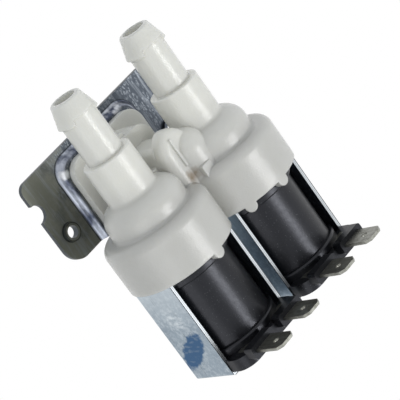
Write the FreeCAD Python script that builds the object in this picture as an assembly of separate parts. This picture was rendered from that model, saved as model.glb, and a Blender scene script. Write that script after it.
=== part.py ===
import FreeCAD, Part
import math
import os
from FreeCAD import Vector

# Twin washing machine inlet valve. All sizes are in millimetres.
# The origin lies on the axis of the threaded inlet, in the rear mounting face of the steel bracket.
# X runs along the row of two coils, Y points out of the inlet, Z points out of the two hose outlets.

# Fits and clearances
running_gap = 0.05
assembly_gap = 0.1
cutter_reach = 10.0

# Spigot, whose shank takes a rubber hose of 10 mm bore
shank_radius = 5.0
spigot_wall = 2.0
outlet_bore_radius = shank_radius - spigot_wall
shoulder_step = 1.75
shoulder_radius = shank_radius + shoulder_step
shoulder_height = 11.5
shank_length = 11.7
barb_length = 5.7
barb_rise = 0.75
barb_radius = shank_radius + barb_rise
barb_back = 0.6
relieved_barb_rise = 1.3
relieved_barb_height = 0.35
relieved_barb_radius = shank_radius + relieved_barb_height
tip_taper = 0.7
tip_radius = shank_radius - tip_taper
tip_rounding = 0.7
mould_parting_angle = -139.5
relief_angle = 80.0

# Plunger, guide tube and spring
plunger_radius = 4.0
plunger_stroke = 2.8
plunger_stop_gap = 0.3
plunger_chamfer = 0.4
tube_wall = 0.95
tube_radius = plunger_radius + running_gap + tube_wall
tube_end_wall = 2.3
tube_end_length = 0.9
tube_end_taper = 0.5
bonnet_thickness = 3.0
bonnet_recess_depth = 1.2
plunger_wall = 1.3
spring_recess_radius = plunger_radius - plunger_wall
spring_recess_depth = 8.0
spring_play = 0.5
spring_radius = spring_recess_radius - spring_play
spring_wire_radius = 0.25
spring_turns = 7.0
spring_wire_sides = 6
tip_rubber_inset = 0.8
tip_rubber_radius = spring_recess_radius - tip_rubber_inset
tip_rubber_length = 3.2
tip_rubber_proud = 0.7
water_groove_width = 1.0
water_groove_depth = 0.6

# Coil
coil_radius = 11.2
coil_wall = 1.3
coil_skin = 1.4
sleeve_wall = 0.5
sleeve_length = 8.5
bobbin_hub_wall = 0.9
bobbin_flange_radius = coil_radius - coil_skin
bobbin_flange = 1.0
winding_inset = 0.3
winding_radius = bobbin_flange_radius - winding_inset
coil_flange_rise = 1.0
coil_flange_radius = coil_radius + coil_flange_rise
coil_flange = 1.6
coil_head_rounding = 0.5
coil_foot_rounding = 0.7
coil_foot_height = 5.5
socket_side_reach = 1.0
socket_half_width = coil_radius + socket_side_reach
socket_height = 3.3
socket_corner = 4.5
socket_overhang = 2.0
socket_front_y = -coil_flange_radius - socket_overhang
collar_reach = 2.4
collar_front_y = socket_front_y - collar_reach
collar_wall = 1.3

# Blades, 6.3 by 0.8 mm quick-connect
terminal_half_spacing = 5.94
terminal_height = 3.0
terminal_width = 6.3
terminal_sheet = 0.8
terminal_reach = 8.7
terminal_tip_y = collar_front_y - terminal_reach
terminal_root_inset = 0.3
terminal_root_y = -bobbin_flange_radius + terminal_root_inset
terminal_hole_inset = 4.0
terminal_hole_y = terminal_tip_y + terminal_hole_inset
terminal_hole_radius = 0.85
terminal_chamfer = 1.3

# Yoke around the coil
yoke_clearance = 0.15
yoke_sheet = 1.1
yoke_half_width = coil_radius + yoke_clearance + yoke_sheet
yoke_half_depth = 7.28
yoke_height = 28.5
yoke_bend = 0.8
tenon_width = 6.0

# Push nut under the yoke
push_nut_radius = 8.0
push_nut_sheet = 0.5
push_nut_slots = 6
push_nut_slit_length = 1.8
push_nut_slit_width = 0.8

# Cup bore and the layout of the two valves, which stand as close as their bores and yokes let them
bonnet_bore_radius = 12.8
cup_web = 2.4
yoke_spacing = 3.1
valve_pitch = max(2 * bonnet_bore_radius + cup_web, 2 * yoke_half_width + yoke_spacing)
axis_depth = 23.0

# Moulded body, cups
cup_wall = 2.2
cup_radius = bonnet_bore_radius + cup_wall
cup_ledge_z = -4.6
cup_edge_radius = 2.6
ledge_wall = 1.6
drum_inset = 1.9
drum_radius = bonnet_bore_radius - drum_inset
drum_top_z = 3.2
drum_wall = 2.0
dome_wall = 2.2
dome_centre_inset = 5.0
inner_fillet = 0.8
shoulder_edge = 0.35
lug_width = 3.2
lug_drop = 2.0
lug_overlap = 3.0
lug_angles_left = [0.5]
lug_angles_right = [0.5, -41.0]
shoulder_top_z = drum_top_z + shoulder_height
barb_z = shoulder_top_z + shank_length
tip_z = barb_z + barb_length

# Moulded body, water ways
diaphragm_seat_z = -10.0
seat_counterbore_step = 0.8
seat_counterbore_radius = outlet_bore_radius + seat_counterbore_step
seat_counterbore_depth = 1.2
seat_wall = 1.1
seat_outer_radius = seat_counterbore_radius + seat_wall
bead_width = 2.2
lower_chamber_radius = bonnet_bore_radius - bead_width
lower_chamber_top_z = cup_ledge_z - ledge_wall
upper_chamber_radius = drum_radius - drum_wall
upper_chamber_top_z = drum_top_z - dome_wall
seat_to_bead = 2.4
bead_shelf_z = diaphragm_seat_z - seat_to_bead
bead_thickness = 2.0
cup_rim_z = bead_shelf_z - bead_thickness - bonnet_thickness
cross_bore_radius = 3.0
cross_bore_z = -2.4

# Diaphragm and its pilot insert
membrane = 1.0
membrane_hole_radius = 3.3
membrane_bend = 0.6
membrane_edge = 0.7
insert_lip_gap = 0.2
free_membrane = 2.6
insert_flange_radius = lower_chamber_radius - free_membrane
insert_flange_thickness = 1.4
insert_lip_height = 0.5
insert_neck_radius = 1.2
insert_neck_height = 0.9
pilot_nose_radius = 1.6
pilot_nose_height = 0.8
pilot_hole_radius = 0.6
bleed_hole_radius = 0.35
bleed_hole_inset = 1.7
bleed_hole_place = insert_flange_radius - bleed_hole_inset
insert_stem_length = 5.0
insert_fin_width = 0.8
bonnet_recess_inset = 1.0
bonnet_recess_radius = lower_chamber_radius - bonnet_recess_inset

# Moulded body, the hump of the inlet chamber between the cups and the domed boss beside it
boss_foot = 3.4
hump_left_x = -4.2
hump_side_z = 4.4
hump_bend_x = -2.6
hump_bend_z = 7.7
hump_top_x = 0.6
hump_top_z = 9.7
hump_right_x = 5.6
hump_right_z = 7.0
hump_front_y = -5.0
hump_rear_y = -0.6
hump_rounding = 2.6
right_boss_radius = 5.6
right_boss_x = 5.0
right_boss_y = -2.0
right_boss_top_z = 6.8

# Moulded body, thin rib and small shelf under the bosses
rib_width = 0.7
rib_y = -5.6
rib_top_z = 7.4
rib_bottom_z = -0.6
shelf_left_x = 1.4
shelf_right_x = 4.9
shelf_front_y = -7.8
shelf_top_z = -2.6
shelf_bottom_z = -7.0
shelf_corner = 0.6

# Moulded body, inlet with a G 3/4 thread, at the root of its ridges
thread_root_radius = 12.06
inlet_length = 14.0
inlet_wall = 2.66
inlet_bore_radius = thread_root_radius - inlet_wall
collar_rise = 1.04
collar_radius = thread_root_radius + collar_rise
groove_depth = 1.26
groove_radius = thread_root_radius - groove_depth
flange_margin = 0.5
flange_half = collar_radius + flange_margin
flange_corner = 4.6
flange_thickness = 2.2
neck_half_width = 6.9
neck_top_z = 11.8
neck_step_height = 1.2
neck_step_top_z = neck_top_z + neck_step_height
neck_step_left_x = -5.0
neck_step_right_x = -0.3
neck_step_front_y = -14.2
neck_step_corner = 0.6
linking_top_z = 7.6
linking_half_width = 4.2
linking_lap = 1.6
linking_corner = 1.5
linking_crest_corner = 2.0
neck_bottom_z = -9.5
neck_front_y = -15.0
neck_corner = 4.0
neck_wall = 1.8
passage_low_z = -4.5
passage_corner = 1.5
front_way_half = 2.6
front_way_start = 2.4
front_way_corner = 1.0

# Steel bracket
sheet = 1.2
pad_margin = 2.0
pad_half = flange_half + pad_margin
pad_rise = 2.0
pad_run = 1.7
pad_corner = 5.0
screw_from_pad = 5.9
screw_half_spacing = pad_half + screw_from_pad
screw_edge = 4.9
bracket_half_width = screw_half_spacing + screw_edge
bracket_top_margin = 2.0
bracket_top_z = pad_half + bracket_top_margin
bracket_bottom_z = -7.4
bracket_top_corner = 2.6
bracket_lobe_corner = 5.0
screw_hole_radius = 1.6
screw_collar_radius = 2.5
screw_collar_height = 0.9
notch_z = 9.3
notch_radius = 2.6
slot_clearance = 0.1
pip_radius = 1.1
pip_height = 0.8
pip_inset = 2.3
pip_place = flange_half - pip_inset

# Strainer and flow regulator in the inlet
strainer_rim_radius = inlet_bore_radius - assembly_gap
strainer_rim_width = 1.6
strainer_rim_thickness = 1.5
strainer_inset = 0.5
strainer_length = 11.0
strainer_wall = 0.6
strainer_taper = 4.1
strainer_tip_radius = strainer_rim_radius - strainer_taper
strainer_mouth_step = 0.4
strainer_mouth_radius = strainer_rim_radius - strainer_rim_width + strainer_mouth_step
strainer_window_count = 8
strainer_window_width = 2.6
strainer_window_margin = 1.4
strainer_window_inner = 2.0
regulator_play = 0.2
regulator_radius = inlet_bore_radius - regulator_play
regulator_gap = 0.5
regulator_bore_radius = 2.2
regulator_ring_radius = 4.6
regulator_ring_wire = 1.4
regulator_seat_gap = 0.1
regulator_port_radius = 0.7
regulator_port_count = 6

os.makedirs("parts", exist_ok=True)

UP = Vector(0, 0, 1)
REAR = Vector(0, 1, 0)
RIGHT = Vector(1, 0, 0)
made = {}


def save(name, shape):
    if len(shape.Solids) == 1:
        shape = shape.Solids[0]
    shape.exportStep("parts/" + name + ".step")
    made[name] = shape


def tube(outer, inner, z_low, z_high, x=0.0, y=0.0):
    solid = Part.makeCylinder(outer, z_high - z_low, Vector(x, y, z_low))
    if inner > 0:
        solid = solid.cut(Part.makeCylinder(inner, z_high - z_low, Vector(x, y, z_low)))
    return solid


def rod_along_y(radius, y_low, y_high, x=0.0, z=0.0):
    return Part.makeCylinder(radius, y_high - y_low, Vector(x, y_low, z), REAR)


def turned(profile, x=0.0, y=0.0, angle=360.0, start=0.0):
    # Turns a closed profile of (radius, z) points about the Z direction.
    points = [Vector(r, 0, z) for r, z in profile]
    face = Part.Face(Part.makePolygon(points + [points[0]]))
    face.rotate(Vector(0, 0, 0), UP, start)
    solid = face.revolve(Vector(0, 0, 0), UP, angle)
    solid.translate(Vector(x, y, 0))
    return solid


def rounded_rectangle(x_low, x_high, z_low, z_high, radius, y):
    # A closed wire in a plane of constant Y.
    pieces = []
    corners = [(x_high - radius, z_high - radius), (x_low + radius, z_high - radius),
               (x_low + radius, z_low + radius), (x_high - radius, z_low + radius)]
    ends = []
    for number, (centre_x, centre_z) in enumerate(corners):
        arc = []
        for step in (0, 1, 2):
            turn = math.pi / 4 * (2 * number + step)
            arc.append(Vector(centre_x + radius * math.cos(turn), y, centre_z + radius * math.sin(turn)))
        ends.append(arc)
    for number, arc in enumerate(ends):
        pieces.append(Part.Arc(*arc).toShape())
        following = ends[(number + 1) % 4]
        pieces.append(Part.makeLine(arc[2], following[0]))
    return Part.Wire(pieces)


def rounded_block(x_low, x_high, z_low, z_high, radius, y_low, y_high):
    wire = rounded_rectangle(x_low, x_high, z_low, z_high, radius, y_low)
    return Part.Face(wire).extrude(Vector(0, y_high - y_low, 0))


def ring_edges(shape, radius, z, x, y):
    # The round edges of a turned shape at one radius and height.
    found = []
    for edge in shape.Edges:
        if not isinstance(edge.Curve, Part.Circle):
            continue
        centre = edge.Curve.Center
        same_place = abs(centre.x - x) < 0.01 and abs(centre.y - y) < 0.01
        if same_place and abs(edge.Curve.Radius - radius) < 0.01 and abs(centre.z - z) < 0.01:
            found.append(edge)
    return found


axis_y = -axis_depth
left_x = -valve_pitch / 2
right_x = valve_pitch / 2
sides = [("left", left_x, lug_angles_left), ("right", right_x, lug_angles_right)]

# Valve body, one moulding
def barb_profile(radius, low_z):
    # The barb slopes back to the shank below its edge and ends in a rounded tip.
    profile = [(0, barb_z - barb_back), (shank_radius, barb_z - barb_back)]
    if low_z > barb_z:
        profile.append((shank_radius, low_z - barb_back / 2))
    profile.append((radius, low_z))
    for degrees in (0, 30, 60, 90):
        turn = math.radians(degrees)
        profile.append((tip_radius - tip_rounding * (1 - math.cos(turn)),
                        tip_z - tip_rounding * (1 - math.sin(turn))))
    return profile + [(0, tip_z)]


def cup_and_outlet(x, lug_angles):
    drum_edge_radius = dome_centre_inset
    dome_centre_r = drum_radius - dome_centre_inset
    dome_centre_z = drum_top_z - math.sqrt(drum_edge_radius ** 2 - (shoulder_radius - dome_centre_r) ** 2)
    dome_turn = math.radians(40)
    lower = [(0, cup_rim_z), (cup_radius, cup_rim_z), (cup_radius, cup_ledge_z), (drum_radius, cup_ledge_z),
             (drum_radius, dome_centre_z)]
    upper = [(shoulder_radius, drum_top_z), (shoulder_radius, shoulder_top_z), (shank_radius,
                                                                                shoulder_top_z),
             (shank_radius, tip_z), (0, tip_z), (0, cup_rim_z)]
    lower_line = Part.makePolygon([Vector(r, 0, z) for r, z in lower])
    upper_line = Part.makePolygon([Vector(r, 0, z) for r, z in upper])
    dome_middle = Vector(dome_centre_r + drum_edge_radius * math.cos(dome_turn), 0,
                         dome_centre_z + drum_edge_radius * math.sin(dome_turn))
    dome_arc = Part.Arc(Vector(drum_radius, 0, dome_centre_z), dome_middle,
                        Vector(shoulder_radius, 0, drum_top_z)).toShape()
    outline = Part.Wire(lower_line.Edges + [dome_arc] + upper_line.Edges)
    outside = Part.Face(outline).revolve(Vector(0, 0, 0), UP, 360)
    outside.translate(Vector(x, axis_y, 0))
    outside = outside.makeFillet(cup_edge_radius, ring_edges(outside, cup_radius, cup_ledge_z, x, axis_y))
    outside = outside.makeFillet(inner_fillet, ring_edges(outside, drum_radius, cup_ledge_z, x, axis_y))
    outside = outside.makeFillet(inner_fillet, ring_edges(outside, shoulder_radius, drum_top_z, x, axis_y))
    outside = outside.makeFillet(shoulder_edge, ring_edges(outside, shoulder_radius, shoulder_top_z, x,
                                                           axis_y))
    above = Part.makeCylinder(barb_radius + 1, tip_z - barb_z + barb_back, Vector(x, axis_y,
                                                                                  barb_z - barb_back))
    full_side = turned(barb_profile(barb_radius, barb_z), x, axis_y, 360 - relief_angle,
                       mould_parting_angle + relief_angle)
    relieved_side = turned(barb_profile(relieved_barb_radius, barb_z + relieved_barb_rise), x, axis_y,
                           relief_angle,
                           mould_parting_angle)
    outside = outside.cut(above).fuse(full_side.fuse(relieved_side))
    for degrees in lug_angles:
        lug_profile = rounded_rectangle(-lug_width / 2, lug_width / 2, cup_rim_z - lug_drop, cup_rim_z + 2,
                                        lug_width / 2 - 0.01, -cup_radius)
        lug = Part.Face(lug_profile).extrude(Vector(0, cup_radius - bonnet_bore_radius + 2, 0))
        hoop = tube(cup_radius, bonnet_bore_radius, cup_rim_z - lug_drop - 1, cup_rim_z + lug_overlap)
        lug = lug.common(hoop)
        lug.rotate(Vector(0, 0, 0), UP, degrees)
        lug.translate(Vector(x, axis_y, 0))
        outside = outside.fuse(lug)
    return outside


def water_way(x):
    space = tube(bonnet_bore_radius, 0, cup_rim_z, bead_shelf_z, x, axis_y)
    rooms = [(lower_chamber_radius, seat_outer_radius, diaphragm_seat_z, lower_chamber_top_z),
             (lower_chamber_radius, 0, bead_shelf_z, diaphragm_seat_z),
             (upper_chamber_radius, seat_outer_radius, lower_chamber_top_z, upper_chamber_top_z),
             (outlet_bore_radius, 0, diaphragm_seat_z, tip_z),
             (seat_counterbore_radius, 0, diaphragm_seat_z, diaphragm_seat_z + seat_counterbore_depth)]
    for outer, inner, low_z, high_z in rooms:
        space = space.fuse(tube(outer, inner, low_z, high_z, x, axis_y))
    return space


flange_rear_y = -sheet - pad_rise
flange_front_y = flange_rear_y - flange_thickness
collar_front = -pad_rise

body = cup_and_outlet(left_x, lug_angles_left).fuse(cup_and_outlet(right_x, lug_angles_right))
flange = rounded_block(-flange_half, flange_half, -flange_half, flange_half, flange_corner, flange_front_y,
                       flange_rear_y)
neck = rounded_block(-neck_half_width, neck_half_width, neck_bottom_z, neck_top_z, neck_corner,
                     neck_front_y,
                     flange_front_y)
neck = neck.fuse(rounded_block(neck_step_left_x, neck_step_right_x, 0, neck_step_top_z, neck_step_corner,
                               neck_step_front_y, flange_front_y))
linking_block = rounded_block(-neck_half_width, neck_half_width, neck_bottom_z, drum_top_z, linking_corner,
                              axis_y, neck_front_y)
linking_crest = rounded_block(-linking_half_width, linking_half_width, 0, linking_top_z,
                              linking_crest_corner,
                              axis_y - linking_lap, neck_front_y)
linking_block = linking_block.fuse(linking_crest)

# Front bosses of the inlet chamber between the two cups
def domed_boss(radius, boss_x, boss_y, top_z):
    foot_z = cup_ledge_z - boss_foot
    boss = Part.makeCylinder(radius, top_z - radius - foot_z, Vector(boss_x, axis_y + boss_y, foot_z))
    return boss.fuse(Part.makeSphere(radius, Vector(boss_x, axis_y + boss_y, top_z - radius)))


foot_z = cup_ledge_z - boss_foot


def hump_section(inset, y):
    # A side that leans over to the crest on the left and a wide round that falls to the right.
    top_z = hump_top_z - inset
    right_reach = hump_right_x - hump_top_x
    right_drop = hump_top_z - hump_right_z
    right_round = (right_reach ** 2 + right_drop ** 2) / (2 * right_drop)
    half_turn = math.asin(right_reach / right_round) / 2
    left_share = (hump_bend_x - hump_top_x) / (hump_left_x - hump_top_x)
    high_share = (hump_bend_z - hump_side_z) / (hump_top_z - hump_side_z)
    left_bend = Vector(hump_bend_x + inset * left_share, y, hump_bend_z - inset * high_share)
    right_bend = Vector(hump_top_x + right_round * math.sin(half_turn), y,
                        top_z - right_round * (1 - math.cos(half_turn)))
    corners = [Vector(hump_left_x + inset, y, foot_z), Vector(hump_left_x + inset, y, hump_side_z),
               Vector(hump_top_x, y, top_z), Vector(hump_right_x, y, top_z - right_drop),
               Vector(hump_right_x, y, foot_z)]
    return Part.Wire([Part.makeLine(corners[0], corners[1]), Part.Arc(corners[1], left_bend,
                                                                      corners[2]).toShape(),
                      Part.Arc(corners[2], right_bend, corners[3]).toShape(), Part.makeLine(corners[3],
                                                                                            corners[4]),
                      Part.makeLine(corners[4], corners[0])])


hump_sections = []
for degrees in (0, 30, 60, 90):
    turn = math.radians(degrees)
    section_y = axis_y + hump_front_y + hump_rounding * (1 - math.cos(turn))
    hump_sections.append(hump_section(hump_rounding * (1 - math.sin(turn)), section_y))
hump = Part.makeLoft(hump_sections, True, False)
hump_back = hump_section(0, axis_y + hump_front_y + hump_rounding)
hump = hump.fuse(Part.Face(hump_back).extrude(Vector(0, hump_rear_y - hump_front_y - hump_rounding, 0)))
chamber_front = hump.fuse(domed_boss(right_boss_radius, right_boss_x, right_boss_y, right_boss_top_z))
rib = Part.makeBox(rib_width, -rib_y, rib_top_z - rib_bottom_z, Vector(-rib_width / 2, axis_y + rib_y,
                                                                       rib_bottom_z))
shelf = rounded_block(shelf_left_x, shelf_right_x, shelf_bottom_z, shelf_top_z, shelf_corner,
                      axis_y + shelf_front_y,
                      axis_y)
chamber_front = chamber_front.fuse([rib, shelf])

inlet = rod_along_y(groove_radius, flange_rear_y, collar_front)
inlet = inlet.fuse(rod_along_y(collar_radius, collar_front, 0))
inlet = inlet.fuse(rod_along_y(thread_root_radius, 0, inlet_length))
body = body.fuse([flange, neck, linking_block, chamber_front, inlet])
for pip_x in (-pip_place, pip_place):
    body = body.fuse(rod_along_y(pip_radius, flange_rear_y, flange_rear_y + pip_height, pip_x, pip_place))

passage_half = neck_half_width - neck_wall
passage = rounded_block(-passage_half, passage_half, passage_low_z, neck_top_z - neck_corner,
                        passage_corner,
                        neck_front_y + neck_wall, flange_rear_y)
front_way = rounded_block(-front_way_half, front_way_half, passage_low_z, drum_top_z - neck_wall,
                          front_way_corner,
                          axis_y - front_way_start, neck_front_y + neck_wall)
inlet_bore = rod_along_y(inlet_bore_radius, flange_rear_y, inlet_length)
cross_bore = Part.makeCylinder(cross_bore_radius, valve_pitch / 2, Vector(-valve_pitch / 4, axis_y,
                                                                          cross_bore_z),
                               RIGHT)
body = body.cut([passage, front_way, inlet_bore, cross_bore, water_way(left_x), water_way(right_x)])
save("valve_body", body)

# Bracket, one steel pressing that slides over the groove of the inlet from above
def pad_section(grow, y):
    half = pad_half + grow
    return rounded_rectangle(-half, half, -half, half, pad_corner + grow, y)


def pad_loft(inset, depth):
    # An S shaped wall from the plate up to the raised pad.
    steps = [(0.35, 0.0), (0.0, 0.12), (-0.3, 0.5), (-0.6, 0.85), (-0.9, 0.97), (-1.0, 1.0)]
    sections = []
    for share, rise in steps:
        grow = share * pad_run
        sections.append(pad_section(grow - inset, depth - pad_rise * rise))
    return Part.makeLoft(sections, True, False)


plate = Part.makeBox(2 * bracket_half_width, sheet, bracket_top_z - bracket_bottom_z,
                     Vector(-bracket_half_width, -sheet, bracket_bottom_z))


def corner_edges(shape, z):
    # The edges across the sheet at one height.
    found = []
    for edge in shape.Edges:
        first = edge.Vertexes[0].Point
        last = edge.Vertexes[1].Point
        across = abs(first.x - last.x) < 0.01 and abs(first.z - last.z) < 0.01
        if across and abs(first.z - z) < 0.01:
            found.append(edge)
    return found


plate = plate.makeFillet(bracket_top_corner, corner_edges(plate, bracket_top_z))
plate = plate.makeFillet(bracket_lobe_corner, corner_edges(plate, bracket_bottom_z))
raised = pad_loft(0.0, -sheet)
hollow = pad_loft(0.0, 0.0)
bracket = plate.fuse(raised).cut(hollow)
below = Part.makeBox(4 * pad_half, 2 * cutter_reach, 4 * pad_half,
                     Vector(-2 * pad_half, -cutter_reach, bracket_bottom_z - 4 * pad_half))
slot_radius = groove_radius + slot_clearance
slot = rod_along_y(slot_radius, -cutter_reach, cutter_reach)
slot = slot.fuse(Part.makeBox(2 * slot_radius, 2 * cutter_reach, 2 * pad_half,
                              Vector(-slot_radius, -cutter_reach, -2 * pad_half)))
bracket = bracket.cut(below).cut(slot)
for side in (-1, 1):
    hole_x = side * screw_half_spacing
    bracket = bracket.fuse(rod_along_y(screw_collar_radius, -sheet - screw_collar_height, -sheet, hole_x))
    bracket = bracket.cut(rod_along_y(screw_hole_radius, -cutter_reach, cutter_reach, hole_x))
    bracket = bracket.cut(rod_along_y(notch_radius, -cutter_reach, cutter_reach, side * bracket_half_width,
                                      notch_z))
    bracket = bracket.cut(rod_along_y(pip_radius + slot_clearance, -cutter_reach, cutter_reach,
                                      side * pip_place, pip_place))
save("bracket", bracket.removeSplitter())

# Pieces of each valve and coil
for side, x, lug_angles in sides:
    # Diaphragm, rubber
    web_top = diaphragm_seat_z
    web_low = web_top - membrane
    bead_low = bead_shelf_z - bead_thickness
    bead_outer = bonnet_bore_radius - assembly_gap
    web_bend = insert_flange_radius + membrane_bend
    membrane_profile = [(membrane_hole_radius, web_top), (web_bend, web_top),
                        (lower_chamber_radius - assembly_gap, bead_shelf_z), (bead_outer, bead_shelf_z),
                        (bead_outer, bead_low), (lower_chamber_radius, bead_low),
                        (lower_chamber_radius - membrane_edge, bead_shelf_z - membrane), (web_bend - 0.2,
                                                                                          web_low),
                        (membrane_hole_radius, web_low)]
    membrane_solid = turned(membrane_profile, x, axis_y)
    membrane_solid = membrane_solid.cut(tube(bleed_hole_radius, 0, web_low - 1, web_top + 1,
                                             x + bleed_hole_place, axis_y))
    save("diaphragm_" + side, membrane_solid)

    # Pilot insert, plastic
    flange_low = web_low - insert_flange_thickness
    nose_low = flange_low - pilot_nose_height
    hub = membrane_hole_radius
    lip = seat_counterbore_radius - insert_lip_gap
    insert_profile = [(pilot_hole_radius, nose_low), (pilot_nose_radius, nose_low), (pilot_nose_radius,
                                                                                     flange_low),
                      (insert_flange_radius, flange_low), (insert_flange_radius, web_low), (hub, web_low),
                      (hub, web_top),
                      (lip, web_top), (lip, web_top + insert_lip_height), (insert_neck_radius,
                                                                           web_top + insert_neck_height),
                      (insert_neck_radius, web_top + insert_stem_length), (pilot_hole_radius,
                                                                           web_top + insert_stem_length)]
    insert = turned(insert_profile, x, axis_y)
    fin_reach = outlet_bore_radius - assembly_gap
    for fin_angle in (0, 60, 120):
        fin = Part.makeBox(2 * fin_reach, insert_fin_width, insert_stem_length - seat_counterbore_depth,
                           Vector(-fin_reach, -insert_fin_width / 2, web_top + seat_counterbore_depth))
        fin = fin.common(tube(fin_reach, pilot_hole_radius, web_top, web_top + insert_stem_length))
        fin.rotate(Vector(0, 0, 0), UP, fin_angle)
        fin.translate(Vector(x, axis_y, 0))
        insert = insert.fuse(fin)
    insert = insert.cut(tube(bleed_hole_radius, 0, flange_low - 1, web_low + 0.1, x + bleed_hole_place,
                             axis_y))
    save("pilot_insert_" + side, insert.removeSplitter())

    # Guide tube with the bonnet that closes the cup
    bonnet_top = bead_low
    bonnet_low = cup_rim_z
    yoke_low_z = cup_rim_z - yoke_height
    tube_end_z = yoke_low_z - push_nut_sheet - tube_end_length
    tube_floor_z = tube_end_z + tube_end_wall
    guide_bore = plunger_radius + running_gap
    guide_profile = [(guide_bore, tube_floor_z), (guide_bore, bonnet_top - bonnet_recess_depth),
                     (bonnet_recess_radius, bonnet_top - bonnet_recess_depth), (bonnet_recess_radius,
                                                                                bonnet_top),
                     (bead_outer, bonnet_top), (bead_outer, bonnet_low), (tube_radius, bonnet_low),
                     (tube_radius, tube_end_z + tube_end_taper), (tube_radius - tube_end_taper, tube_end_z),
                     (0, tube_end_z), (0, tube_floor_z)]
    save("guide_tube_" + side, turned(guide_profile, x, axis_y))

    # Plunger, magnetic steel, with its rubber tip
    seat_face_z = nose_low
    plunger_top = seat_face_z - tip_rubber_proud
    plunger_low = tube_floor_z + plunger_stroke + plunger_stop_gap
    plunger = tube(plunger_radius, 0, plunger_low, plunger_top, x, axis_y)
    plunger = plunger.makeChamfer(plunger_chamfer, ring_edges(plunger, plunger_radius, plunger_top, x,
                                                              axis_y))
    tip_low = seat_face_z - tip_rubber_length
    plunger = plunger.cut(tube(tip_rubber_radius, 0, tip_low, plunger_top, x, axis_y))
    plunger = plunger.cut(tube(spring_recess_radius, 0, plunger_low, plunger_low + spring_recess_depth, x,
                               axis_y))
    for groove_side in (-1, 1):
        groove = Part.makeBox(water_groove_width, 2 * water_groove_depth, plunger_top - plunger_low,
                              Vector(x - water_groove_width / 2,
                                     axis_y + groove_side * plunger_radius - water_groove_depth,
                                     plunger_low))
        plunger = plunger.cut(groove)
    save("plunger_" + side, plunger)
    save("plunger_seal_" + side, tube(tip_rubber_radius, 0, tip_low, seat_face_z, x, axis_y))

    # Return spring between the plunger and the closed end of the guide tube
    spring_low = tube_floor_z + spring_wire_radius
    spring_high = plunger_low + spring_recess_depth - spring_wire_radius
    spring_pitch = (spring_high - spring_low) / spring_turns
    helix = Part.makeHelix(spring_pitch, spring_high - spring_low, spring_radius)
    corners = []
    for number in range(spring_wire_sides + 1):
        turn = 2 * math.pi * number / spring_wire_sides
        corners.append(Vector(spring_radius + spring_wire_radius * math.cos(turn), 0,
                              spring_wire_radius * math.sin(turn)))
    spring = Part.Wire(helix.Edges).makePipeShell([Part.makePolygon(corners)], True, True)
    spring.translate(Vector(x, axis_y, spring_low))
    save("plunger_spring_" + side, spring)

    # Yoke, folded steel strip, and the pole plate on its tenons
    yoke_top_z = cup_rim_z
    leg_top_z = yoke_top_z - yoke_sheet
    outer = Part.makeBox(2 * yoke_half_width, 2 * yoke_half_depth, leg_top_z - yoke_low_z,
                         Vector(x - yoke_half_width, axis_y - yoke_half_depth, yoke_low_z))
    bends = []
    for edge in outer.Edges:
        first = edge.Vertexes[0].Point
        last = edge.Vertexes[1].Point
        if abs(first.x - last.x) < 0.01 and abs(first.z - yoke_low_z) < 0.01 and abs(last.z - yoke_low_z) < 0.01:
            bends.append(edge)
    outer = outer.makeFillet(yoke_bend, bends)
    inner = Part.makeBox(2 * (yoke_half_width - yoke_sheet), 2 * yoke_half_depth + 2,
                         leg_top_z - yoke_low_z,
                         Vector(x - yoke_half_width + yoke_sheet, axis_y - yoke_half_depth - 1,
                                yoke_low_z + yoke_sheet))
    yoke = outer.cut(inner)
    sleeve_outer = tube_radius + assembly_gap + sleeve_wall
    yoke = yoke.cut(tube(sleeve_outer, 0, yoke_low_z - 1, yoke_low_z + yoke_sheet + 1, x, axis_y))
    pole_plate = Part.makeBox(2 * yoke_half_width, 2 * yoke_half_depth, yoke_sheet,
                              Vector(x - yoke_half_width, axis_y - yoke_half_depth, leg_top_z))
    pole_plate = pole_plate.cut(tube(sleeve_outer, 0, leg_top_z - 1, yoke_top_z + 1, x, axis_y))
    for leg_side in (-1, 1):
        leg_middle = x + leg_side * (yoke_half_width - yoke_sheet / 2)
        tenon = Part.makeBox(yoke_sheet, tenon_width, yoke_sheet,
                             Vector(leg_middle - yoke_sheet / 2, axis_y - tenon_width / 2, leg_top_z))
        yoke = yoke.fuse(tenon)
        pole_plate = pole_plate.cut(tenon)
    save("yoke_" + side, yoke.removeSplitter())
    save("pole_plate_" + side, pole_plate)

    # Two steel sleeves lead the field from the yoke to the plunger
    sleeve_inner = tube_radius + assembly_gap
    save("upper_sleeve_" + side, tube(sleeve_outer, sleeve_inner, yoke_top_z - sleeve_length, yoke_top_z, x,
                                      axis_y))
    save("lower_sleeve_" + side, tube(sleeve_outer, sleeve_inner, yoke_low_z, yoke_low_z + sleeve_length, x,
                                      axis_y))

    # Coil: bobbin, copper winding and the black moulding around them
    coil_top = leg_top_z
    coil_low = yoke_low_z + yoke_sheet
    bobbin_bore = sleeve_outer + running_gap
    bobbin_hub = bobbin_bore + bobbin_hub_wall
    bobbin_top = coil_top - coil_wall
    bobbin_low = coil_low + coil_wall
    bobbin = tube(bobbin_hub, bobbin_bore, bobbin_low, bobbin_top, x, axis_y)
    bobbin = bobbin.fuse(tube(bobbin_flange_radius, bobbin_bore, bobbin_low, bobbin_low + bobbin_flange, x,
                              axis_y))
    bobbin = bobbin.fuse(tube(bobbin_flange_radius, bobbin_bore, bobbin_top - bobbin_flange, bobbin_top, x,
                              axis_y))
    save("bobbin_" + side, bobbin.removeSplitter())
    save("winding_" + side, tube(winding_radius, bobbin_hub, bobbin_low + bobbin_flange,
                                 bobbin_top - bobbin_flange, x, axis_y))

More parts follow.
